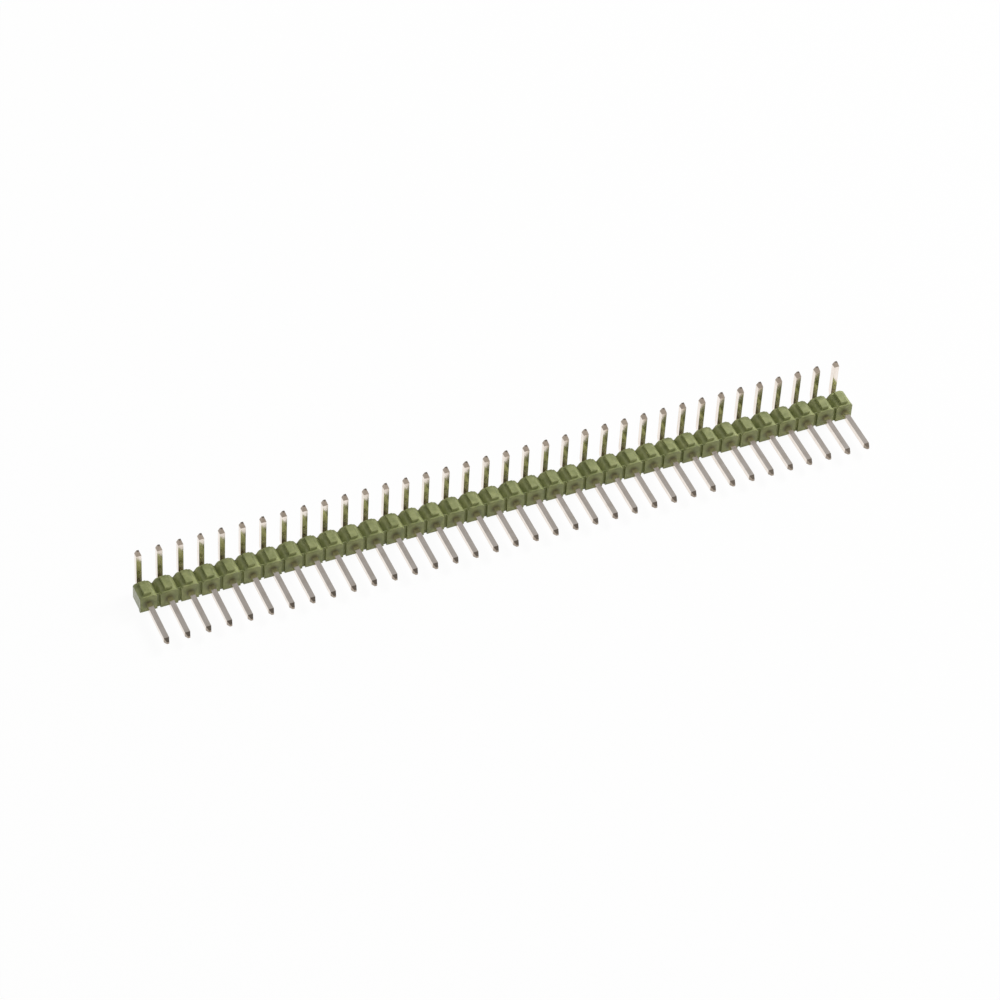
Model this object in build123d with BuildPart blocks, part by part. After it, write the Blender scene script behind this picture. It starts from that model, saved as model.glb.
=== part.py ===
"""Right-angle pin header strip: one moulded housing with 36 bent square pins pressed through it.

Frame: millimetres. X runs along the strip, -Y is the side of the mating posts, +Z is up.
The origin is the middle of the flat base that the housing rests on.
"""

from build123d import *

import os
from math import atan2, degrees, radians, tan

# ---- driving dimensions: the strip ----
pitch = 2.54                 # from one pin to the next
pin_count = 36
housing_depth = 2.45         # front face to rear face
housing_height = 2.40        # flat base to flat top

# ---- driving dimensions: the front wall that joins the modules, and the slots where the strip snaps ----
wall_drop = 0.24             # from the flat top down to the top of the wall
front_wall = 0.38            # thickness of the wall at its top
wall_ramp = 0.20             # how much thicker it is level with the bottom of a groove
base_front_radius = 0.10     # long lower edge of the front face
slot_width = 0.40
slot_depth = 0.30
end_trim = 0.25              # from the middle of the last groove to the snapped end

# ---- driving dimensions: the grooves between two modules, in the top and in the base ----
groove_depth = 0.60
groove_floor = 0.06          # width at the bottom
groove_wall_angle = 55       # degrees from the flat top
shoulder_radius = 0.45       # where the flat top rolls over into a groove

# ---- driving dimensions: the stand-off rib on each module ----
rib_width = 0.84
rib_height = 0.38
rib_front_setback = 0.26     # from the front face to the rib
rib_rear_setback = 0.20      # from the rear face to the rib
rib_edge_radius = 0.06

# ---- driving dimensions: the pins ----
pin_side = 0.64              # square wire
mating_length = 6.50         # front face to the tip of the mating post
tail_setback = 0.95          # rear face to the axis of the tail
tail_height = 5.40           # axis of the mating post to the tip of the tail
bend_radius = 0.75           # at the axis of the wire
tip_length = 0.55            # pyramid that ends each leg
tip_side = 0.28              # blunt end of the pyramid
pin_clearance = 0.0          # the pins are pressed in, so hole and pin are the same size

# ---- places that follow ----
front_y = -housing_depth / 2
rear_y = housing_depth / 2
pin_axis_z = housing_height / 2
tail_axis_y = rear_y + tail_setback
pin_xs = [(number - (pin_count - 1) / 2) * pitch for number in range(pin_count)]
joint_xs = [(number - pin_count / 2) * pitch for number in range(pin_count + 1)]

os.makedirs("parts", exist_ok=True)

# ---- housing: one glass-filled moulding that snaps off by the module ----
with BuildPart() as housing:
    # section of the modules, with a groove wherever two of them meet
    groove_run = groove_depth / tan(radians(groove_wall_angle))
    web_x = pitch / 2
    floor_x = web_x - groove_floor / 2
    flat_x = floor_x - groove_run
    half_outline = [
        (-web_x, groove_depth), (-floor_x, groove_depth), (-flat_x, 0),
        (flat_x, 0), (floor_x, groove_depth), (web_x, groove_depth),
    ]
    module_outline = half_outline + [(-x, housing_height - z) for x, z in half_outline]
    with BuildSketch(Plane.XZ.offset(-front_y)) as modules:
        with Locations(*[(pin_x, 0) for pin_x in pin_xs]):
            Polygon(*module_outline, align=None)
        levels = modules.vertices().group_by(Axis.Y)
        fillet(levels[0] + levels[-1], shoulder_radius)
    extrude(amount=-housing_depth)

    # front wall along the whole strip, which ramps down into the grooves behind it
    wall_top = housing_height - wall_drop
    wall_outline = [
        (front_y, 0), (front_y + front_wall, 0), (front_y + front_wall + wall_ramp, groove_depth),
        (front_y + front_wall + wall_ramp, housing_height - groove_depth),
        (front_y + front_wall, wall_top), (front_y, wall_top),
    ]
    with BuildSketch(Plane.YZ.offset(-pin_count * pitch / 2)):
        Polygon(*wall_outline, align=None)
    extrude(amount=pin_count * pitch)
    front_edges = housing.edges().filter_by(Axis.X).group_by(Axis.Y)[0]
    fillet(front_edges.sort_by(Axis.Z)[0], base_front_radius)

    # narrow slots down the front wall, one at each groove
    with BuildSketch(Plane.XY):
        with Locations(*[(joint_x, front_y) for joint_x in joint_xs[1:-1]]):
            Rectangle(slot_width, 2 * slot_depth)
    extrude(amount=housing_height, mode=Mode.SUBTRACT)

    # both ends, where the strip was snapped off
    with BuildSketch(Plane.XY):
        with Locations((joint_xs[0], 0), (joint_xs[-1], 0)):
            Rectangle(2 * end_trim, 2 * housing_depth)
    extrude(amount=housing_height, mode=Mode.SUBTRACT)

    # one stand-off rib on each module
    rib_length = housing_depth - rib_front_setback - rib_rear_setback
    rib_middle_y = front_y + rib_front_setback + rib_length / 2
    with BuildSketch(Plane.XY.offset(housing_height)):
        with Locations(*[(pin_x, rib_middle_y) for pin_x in pin_xs]):
            Rectangle(rib_width, rib_length)
    extrude(amount=rib_height)
    fillet(housing.faces().group_by(Axis.Z)[-1].edges(), rib_edge_radius)

    # square holes for the pins
    with BuildSketch(Plane.XZ.offset(-front_y)):
        with Locations(*[(pin_x, pin_axis_z) for pin_x in pin_xs]):
            Rectangle(pin_side + pin_clearance, pin_side + pin_clearance)
    extrude(amount=-housing_depth, mode=Mode.SUBTRACT)

housing.part.label = "housing"
export_step(housing.part, "parts/housing.step")

# ---- pins: square wire, pointed at both ends and bent up behind the housing ----
tip_taper = degrees(atan2((pin_side - tip_side) / 2, tip_length))
post_shoulder_y = front_y - mating_length + tip_length
tail_shoulder_z = pin_axis_z + tail_height - tip_length

for number, pin_x in enumerate(pin_xs, start=1):
    post_plane = Plane(origin=(pin_x, post_shoulder_y, pin_axis_z), x_dir=(1, 0, 0), z_dir=(0, -1, 0))
    tail_plane = Plane(origin=(pin_x, tail_axis_y, tail_shoulder_z), x_dir=(1, 0, 0), z_dir=(0, 0, 1))
    with BuildPart() as pin:
        with BuildLine():
            FilletPolyline(
                (pin_x, post_shoulder_y, pin_axis_z),
                (pin_x, tail_axis_y, pin_axis_z),
                (pin_x, tail_axis_y, tail_shoulder_z),
                radius=bend_radius,
            )
        with BuildSketch(post_plane):
            Rectangle(pin_side, pin_side)
        sweep()
        for tip_plane in (post_plane, tail_plane):
            with BuildSketch(tip_plane):
                Rectangle(pin_side, pin_side)
            extrude(amount=tip_length, taper=tip_taper)
    name = f"pin_{number:02d}"
    pin.part.label = name
    export_step(pin.part, f"parts/{name}.step")
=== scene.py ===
"""A right-angle pin header strip: tin-plated square pins in one moulded housing, lying on its flat base."""

from math import radians

import bpy
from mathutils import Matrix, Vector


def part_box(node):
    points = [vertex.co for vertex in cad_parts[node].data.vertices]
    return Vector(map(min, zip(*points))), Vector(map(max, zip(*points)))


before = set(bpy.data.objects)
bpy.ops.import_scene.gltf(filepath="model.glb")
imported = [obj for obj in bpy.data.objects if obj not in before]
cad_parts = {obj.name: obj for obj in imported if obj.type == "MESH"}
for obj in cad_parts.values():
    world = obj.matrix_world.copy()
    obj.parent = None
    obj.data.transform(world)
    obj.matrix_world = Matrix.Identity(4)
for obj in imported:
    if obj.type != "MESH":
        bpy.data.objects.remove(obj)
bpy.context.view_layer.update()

# ---- Housing ----
# One injection moulding of glass-filled PBT in an olive green. Glass fibres and the flow of the melt
# leave it faintly mottled, and the two ends were snapped from longer strips, so they are pale and rough.
housing_low, housing_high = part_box("housing")
housing_top = housing_high[2]
housing_end = housing_high[0]
first_pin, second_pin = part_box("pin_01"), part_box("pin_02")
half_pitch = (second_pin[0][0] - first_pin[0][0]) / 2
pin_side = first_pin[1][0] - first_pin[0][0]
pin_axis_height = first_pin[0][2] + pin_side / 2


def linear(hex_colour):
    """An sRGB hex colour as the linear red, green, blue and alpha that a shader takes."""
    channels = [int(hex_colour[place:place + 2], 16) / 255 for place in (1, 3, 5)]
    return [c / 12.92 if c <= 0.04045 else ((c + 0.055) / 1.055) ** 2.4 for c in channels] + [1.0]


def add_node(tree, kind, settings=None, values=None, links=None):
    """Adds a node, sets its properties and its sockets' values, and links other nodes' sockets into it."""
    node = tree.nodes.new(kind)
    for name, value in (settings or {}).items():
        setattr(node, name, value)
    for socket, value in (values or {}).items():
        node.inputs[socket].default_value = value
    for socket, source in (links or {}).items():
        tree.links.new(source, node.inputs[socket])
    return node


# moulded PBT: matte with a soft sheen, a fine grain, and slow changes of tone along the strip
moulded_pbt = bpy.data.materials.new("moulded PBT, olive green")
moulded_pbt.use_nodes = True
tree = moulded_pbt.node_tree
shader = tree.nodes["Principled BSDF"]
place = add_node(tree, "ShaderNodeTexCoord").outputs["Object"]
axes = add_node(tree, "ShaderNodeSeparateXYZ", links={"Vector": place})

mottle_size = 0.9e-3
mottle_dark, mottle_light = 0.32, 0.68
mottle = add_node(tree, "ShaderNodeTexNoise", {},
                  {"Scale": 1 / mottle_size, "Detail": 4.0, "Roughness": 0.6}, {"Vector": place})
resin = add_node(tree, "ShaderNodeValToRGB", links={"Fac": mottle.outputs["Fac"]})
resin.color_ramp.elements[0].position = mottle_dark
resin.color_ramp.elements[0].color = linear("#767f45")
resin.color_ramp.elements[1].position = mottle_light
resin.color_ramp.elements[1].color = linear("#9aa065")

# fibres lie along the strip, drawn about three times as thick as real ones so that they show
fibre_across, fibre_along = 0.04e-3, 0.25e-3
fibre_start, fibre_full, fibre_share = 0.45, 0.75, 0.35
fibre_scale = (1 / fibre_along, 1 / fibre_across, 1 / fibre_across)
fibre_place = add_node(tree, "ShaderNodeMapping", {}, {"Scale": fibre_scale}, {"Vector": place})
fibres = add_node(tree, "ShaderNodeTexNoise", {}, {"Scale": 1.0, "Detail": 2.0, "Roughness": 0.5},
                  {"Vector": fibre_place.outputs["Vector"]})
fibre_tone = add_node(tree, "ShaderNodeMapRange", {},
                      {"From Min": fibre_start, "From Max": fibre_full,
                       "To Min": 0.0, "To Max": fibre_share},
                      {"Value": fibres.outputs["Fac"]})
body_colour = add_node(tree, "ShaderNodeMix", {"data_type": "RGBA"}, {"B": linear("#b6b696")},
                       {"Factor": fibre_tone.outputs["Result"], "A": resin.outputs["Color"]})

# painted shade: the resin round each hole is darker and browner, standing in for the shade where the pins
# leave the housing
root_shade_reach = 0.5e-3
root_shade_share = 0.75
across = add_node(tree, "ShaderNodeMath", {"operation": "PINGPONG"}, {1: half_pitch}, {0: axes.outputs["X"]})
sideways = add_node(tree, "ShaderNodeMath", {"operation": "SUBTRACT"}, {0: half_pitch},
                    {1: across.outputs["Value"]})
upwards = add_node(tree, "ShaderNodeMath", {"operation": "SUBTRACT"}, {1: pin_axis_height},
                   {0: axes.outputs["Z"]})
from_axis = add_node(tree, "ShaderNodeCombineXYZ", {}, {},
                     {"X": sideways.outputs["Value"], "Y": upwards.outputs["Value"]})
distance = add_node(tree, "ShaderNodeVectorMath", {"operation": "LENGTH"}, {},
                    {"Vector": from_axis.outputs["Vector"]})
root_shade = add_node(tree, "ShaderNodeMapRange", {},
                   {"From Min": pin_side / 2 + root_shade_reach, "From Max": pin_side / 2,
                    "To Max": root_shade_share},
                   {"Value": distance.outputs["Value"]})
root_shaded_colour = add_node(tree, "ShaderNodeMix", {"data_type": "RGBA"}, {"B": linear("#514a2c")},
                          {"Factor": root_shade.outputs["Result"], "A": body_colour.outputs["Result"]})

# the snapped ends: whitened by stress, with torn fibres
snapped_skin = 0.02e-3
from_middle = add_node(tree, "ShaderNodeMath", {"operation": "ABSOLUTE"}, links={0: axes.outputs["X"]})
snapped = add_node(tree, "ShaderNodeMath", {"operation": "GREATER_THAN"}, {1: housing_end - snapped_skin},
                   {0: from_middle.outputs["Value"]})
tear_size = 0.18e-3
tear_dark, tear_light = 0.3, 0.62
tear = add_node(tree, "ShaderNodeTexNoise", {}, {"Scale": 1 / tear_size, "Detail": 5.0, "Roughness": 0.7},
                {"Vector": place})
torn = add_node(tree, "ShaderNodeValToRGB", links={"Fac": tear.outputs["Fac"]})
torn.color_ramp.elements[0].position = tear_dark
torn.color_ramp.elements[0].color = linear("#98a07c")
torn.color_ramp.elements[1].position = tear_light
torn.color_ramp.elements[1].color = linear("#d5d4c2")
whole_colour = add_node(tree, "ShaderNodeMix", {"data_type": "RGBA"}, {},
                        {"Factor": snapped.outputs["Value"], "A": root_shaded_colour.outputs["Result"],
                         "B": torn.outputs["Color"]})
tree.links.new(whole_colour.outputs["Result"], shader.inputs["Base Color"])

# the sheen follows the mottle, over the middle of the noise's range
noise_low, noise_high = 0.3, 0.7
smooth_pbt, rough_pbt = 0.42, 0.58
sheen_change = add_node(tree, "ShaderNodeMapRange", {},
                        {"From Min": noise_low, "From Max": noise_high,
                         "To Min": smooth_pbt, "To Max": rough_pbt},
                        {"Value": mottle.outputs["Fac"]})
tree.links.new(sheen_change.outputs["Result"], shader.inputs["Roughness"])
pbt_index = 1.55
shader.inputs["IOR"].default_value = pbt_index

# the surface: a fine mould grain, shallow waves where the melt shrank, and the torn ends
grain_size = 0.07e-3
grain_depth, grain_strength = 0.006e-3, 0.5
grain = add_node(tree, "ShaderNodeTexNoise", {}, {"Scale": 1 / grain_size, "Detail": 3.0, "Roughness": 0.6},
                 {"Vector": place})
grain_bump = add_node(tree, "ShaderNodeBump", {}, {"Strength": grain_strength, "Distance": grain_depth},
                      {"Height": grain.outputs["Fac"]})
sink_size = 1.1e-3
sink_depth, sink_strength = 0.05e-3, 0.6
sink = add_node(tree, "ShaderNodeTexNoise", {}, {"Scale": 1 / sink_size, "Detail": 2.0, "Roughness": 0.5},
                {"Vector": place})
sink_bump = add_node(tree, "ShaderNodeBump", {}, {"Strength": sink_strength, "Distance": sink_depth},
                     {"Height": sink.outputs["Fac"], "Normal": grain_bump.outputs["Normal"]})
tear_depth, torn_strength = 0.06e-3, 0.9
tear_strength = add_node(tree, "ShaderNodeMath", {"operation": "MULTIPLY"}, {1: torn_strength},
                         {0: snapped.outputs["Value"]})
tear_bump = add_node(tree, "ShaderNodeBump", {}, {"Distance": tear_depth},
                     {"Strength": tear_strength.outputs["Value"], "Height": tear.outputs["Fac"],
                      "Normal": sink_bump.outputs["Normal"]})
tree.links.new(tear_bump.outputs["Normal"], shader.inputs["Normal"])

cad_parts["housing"].data.materials.clear()
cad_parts["housing"].data.materials.append(moulded_pbt)

# ---- Pins ----
# Brass wire drawn square, tin plated, cropped to a point at each end, pressed through the housing and
# bent up. The die leaves fine streaks along the wire, and the tin is a warm grey that has dulled unevenly.
pin_names = [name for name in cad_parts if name.startswith("pin_")]
post_tip, tail_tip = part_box(pin_names[0])[0][1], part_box(pin_names[0])[1][2]

tin_plated_brass = bpy.data.materials.new("tin-plated brass wire")
tin_plated_brass.use_nodes = True
tree = tin_plated_brass.node_tree
shader = tree.nodes["Principled BSDF"]
shader.inputs["Metallic"].default_value = 1.0
place = add_node(tree, "ShaderNodeTexCoord").outputs["Object"]
axes = add_node(tree, "ShaderNodeSeparateXYZ", links={"Vector": place})

# die streaks run along the wire: along Y on the posts, and along Z on the tails
streak_across, streak_along = 0.07e-3, 2.4e-3
streaks = []
for streak_axis in (1, 2):
    sizes = [streak_across] * 3
    sizes[streak_axis] = streak_along
    streak_place = add_node(tree, "ShaderNodeMapping", {}, {"Scale": tuple(1 / size for size in sizes)},
                            {"Vector": place})
    streaks.append(add_node(tree, "ShaderNodeTexNoise", {}, {"Scale": 1.0, "Detail": 3.0, "Roughness": 0.55},
                            {"Vector": streak_place.outputs["Vector"]}))
turn_height = 0.3e-3
on_tail = add_node(tree, "ShaderNodeMapRange", {},
                   {"From Min": housing_top - turn_height, "From Max": housing_top + turn_height},
                   {"Value": axes.outputs["Z"]})
streak = add_node(tree, "ShaderNodeMix", {"data_type": "FLOAT"}, {},
                  {"Factor": on_tail.outputs["Result"], "A": streaks[0].outputs["Fac"],
                   "B": streaks[1].outputs["Fac"]})
tin = add_node(tree, "ShaderNodeValToRGB", links={"Fac": streak.outputs["Result"]})
tin.color_ramp.elements[0].position = noise_low
tin.color_ramp.elements[0].color = linear("#e8dcd1")
tin.color_ramp.elements[1].position = noise_high
tin.color_ramp.elements[1].color = linear("#fbf3eb")

# dull patches a millimetre or so long, where the tin has been handled and has oxidised
patch_size = 1.3e-3
patch_start, patch_full, patch_share = 0.42, 0.7, 0.35
patch = add_node(tree, "ShaderNodeTexNoise", {}, {"Scale": 1 / patch_size, "Detail": 3.0, "Roughness": 0.6},
                 {"Vector": place})
patch_tone = add_node(tree, "ShaderNodeMapRange", {},
                      {"From Min": patch_start, "From Max": patch_full,
                       "To Min": 0.0, "To Max": patch_share},
                      {"Value": patch.outputs["Fac"]})
plated = add_node(tree, "ShaderNodeMix", {"data_type": "RGBA"}, {"B": linear("#cfc1b2")},
                  {"Factor": patch_tone.outputs["Result"], "A": tin.outputs["Color"]})

# the cropped points are sheared metal, duller than the drawn faces; their darker colour is partly real and
# partly painted shade, standing in for the dimmer surroundings that the points mirror
crop_length = 0.55e-3
crop_edge = 0.04e-3
post_crop = add_node(tree, "ShaderNodeMapRange", {},
                     {"From Min": post_tip + crop_length + crop_edge, "From Max": post_tip + crop_length},
                     {"Value": axes.outputs["Y"]})
tail_crop = add_node(tree, "ShaderNodeMapRange", {},
                     {"From Min": tail_tip - crop_length - crop_edge, "From Max": tail_tip - crop_length},
                     {"Value": axes.outputs["Z"]})
cropped = add_node(tree, "ShaderNodeMath", {"operation": "MAXIMUM"}, {},
                   {0: post_crop.outputs["Result"], 1: tail_crop.outputs["Result"]})
sheared_and_shaded_tone = add_node(tree, "ShaderNodeMix", {"data_type": "RGBA"},
                       {"A": linear("#85786b"), "B": linear("#b2a596")}, {"Factor": patch.outputs["Fac"]})
wire_colour = add_node(tree, "ShaderNodeMix", {"data_type": "RGBA"}, {},
                       {"Factor": cropped.outputs["Value"], "A": plated.outputs["Result"],
                        "B": sheared_and_shaded_tone.outputs["Result"]})
tree.links.new(wire_colour.outputs["Result"], shader.inputs["Base Color"])

bright_tin, dull_tin, crop_roughness = 0.12, 0.17, 0.2
wire_shine = add_node(tree, "ShaderNodeMapRange", {},
                      {"From Min": noise_low, "From Max": noise_high,
                       "To Min": bright_tin, "To Max": dull_tin},
                      {"Value": patch.outputs["Fac"]})
whole_shine = add_node(tree, "ShaderNodeMix", {"data_type": "FLOAT"}, {"B": crop_roughness},
                       {"Factor": cropped.outputs["Value"], "A": wire_shine.outputs["Result"]})
tree.links.new(whole_shine.outputs["Result"], shader.inputs["Roughness"])
streak_depth, streak_strength = 0.0008e-3, 0.5
streak_bump = add_node(tree, "ShaderNodeBump", {}, {"Strength": streak_strength, "Distance": streak_depth},
                       {"Height": streak.outputs["Result"]})
tree.links.new(streak_bump.outputs["Normal"], shader.inputs["Normal"])

for name in pin_names:
    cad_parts[name].data.materials.clear()
    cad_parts[name].data.materials.append(tin_plated_brass)

# ---- Floor, room and lamps ----
# A plain white table in a pale tent that is darker overhead and towards the back. One soft lamp stands
# high on the right, and the tent's own light fills the rest.
floor_size = 6.0
bpy.ops.object.select_all(action="DESELECT")
bpy.ops.mesh.primitive_plane_add(size=floor_size, location=(0, 0, housing_low[2]))
floor = bpy.context.object
floor.name = "table_top"
white_table = bpy.data.materials.new("white laminate table")
white_table.use_nodes = True
tree = white_table.node_tree
tree.nodes.remove(tree.nodes["Principled BSDF"])
# seen directly, mirrored or through something, the table is mostly an even white glow that hides its
# shadows; the light that it throws back on the strip is that of a plain matt surface
shown_white = 0.95
rays = add_node(tree, "ShaderNodeLightPath")
seen = add_node(tree, "ShaderNodeMath", {"operation": "MAXIMUM"}, {},
                {0: rays.outputs["Is Camera Ray"], 1: rays.outputs["Is Glossy Ray"]})
seen_through = add_node(tree, "ShaderNodeMath", {"operation": "MAXIMUM"}, {},
                        {0: seen.outputs["Value"], 1: rays.outputs["Is Transmission Ray"]})
share = add_node(tree, "ShaderNodeMath", {"operation": "MULTIPLY"}, {1: shown_white},
                 {0: seen_through.outputs["Value"]})
surface = add_node(tree, "ShaderNodeBsdfDiffuse", {}, {"Color": linear("#f4f4f2")})
glow = add_node(tree, "ShaderNodeEmission", {}, {"Color": linear("#ffffff"), "Strength": 1.0})
both = add_node(tree, "ShaderNodeMixShader", {}, {},
                {"Fac": share.outputs["Value"], 1: surface.outputs["BSDF"], 2: glow.outputs["Emission"]})
tree.links.new(both.outputs["Shader"], tree.nodes["Material Output"].inputs["Surface"])
floor.data.materials.append(white_table)

room = bpy.data.worlds.new("pale tent")
bpy.context.scene.world = room
room.use_nodes = True
tree = room.node_tree
# the tent has three brightnesses: graded where a shiny surface mirrors it, one level where it lights a
# matt surface, and full white where the camera sees it
side_level, top_level = 1.0, 0.25
side_height, top_height = 0.1, 0.96
rear_dimming = 0.10
heading = add_node(tree, "ShaderNodeSeparateXYZ", {}, {},
                   {"Vector": add_node(tree, "ShaderNodeTexCoord").outputs["Generated"]})
upward = add_node(tree, "ShaderNodeMath", {"operation": "MULTIPLY_ADD"}, {1: rear_dimming},
                  {0: heading.outputs["Y"], 2: heading.outputs["Z"]})
level = add_node(tree, "ShaderNodeMapRange", {},
                 {"From Min": side_height, "From Max": top_height,
                  "To Min": side_level, "To Max": top_level},
                 {"Value": upward.outputs["Value"]})
rays = add_node(tree, "ShaderNodeLightPath")
fill_level = 0.42
fill = add_node(tree, "ShaderNodeMix", {"data_type": "FLOAT"}, {"B": fill_level},
                {"Factor": rays.outputs["Is Diffuse Ray"], "A": level.outputs["Result"]})
strength = add_node(tree, "ShaderNodeMix", {"data_type": "FLOAT"}, {"B": 1.0},
                    {"Factor": rays.outputs["Is Camera Ray"], "A": fill.outputs["Result"]})
tree.links.new(strength.outputs["Result"], tree.nodes["Background"].inputs["Strength"])
tree.nodes["Background"].inputs["Color"].default_value = linear("#ffffff")

lamp_place, lamp_size, lamp_power = (0.72, 0.22, 0.66), 0.35, 7.6
bpy.ops.object.light_add(type="AREA", location=lamp_place)
lamp = bpy.context.object
lamp.name = "soft_lamp"
lamp.data.size = lamp_size
lamp.data.energy = lamp_power
lamp.rotation_euler = lamp.location.to_track_quat("Z", "Y").to_euler()

# ---- Camera ----
# A long lens from above and in front, a little to the left.
camera_place = (-0.154325, -0.318379, 0.360340)
camera_turn = (44.4933, -2.5875, -23.2007)
lens_mm, sensor_mm = 154.362, 36.0
nearest, farthest = 0.01, 20.0
bpy.ops.object.camera_add(location=camera_place, rotation=[radians(angle) for angle in camera_turn])
camera = bpy.context.object
camera.data.sensor_width = sensor_mm
camera.data.lens = lens_mm
camera.data.clip_start = nearest
camera.data.clip_end = farthest
bpy.context.scene.camera = camera
bpy.context.scene.view_settings.view_transform = "Standard"
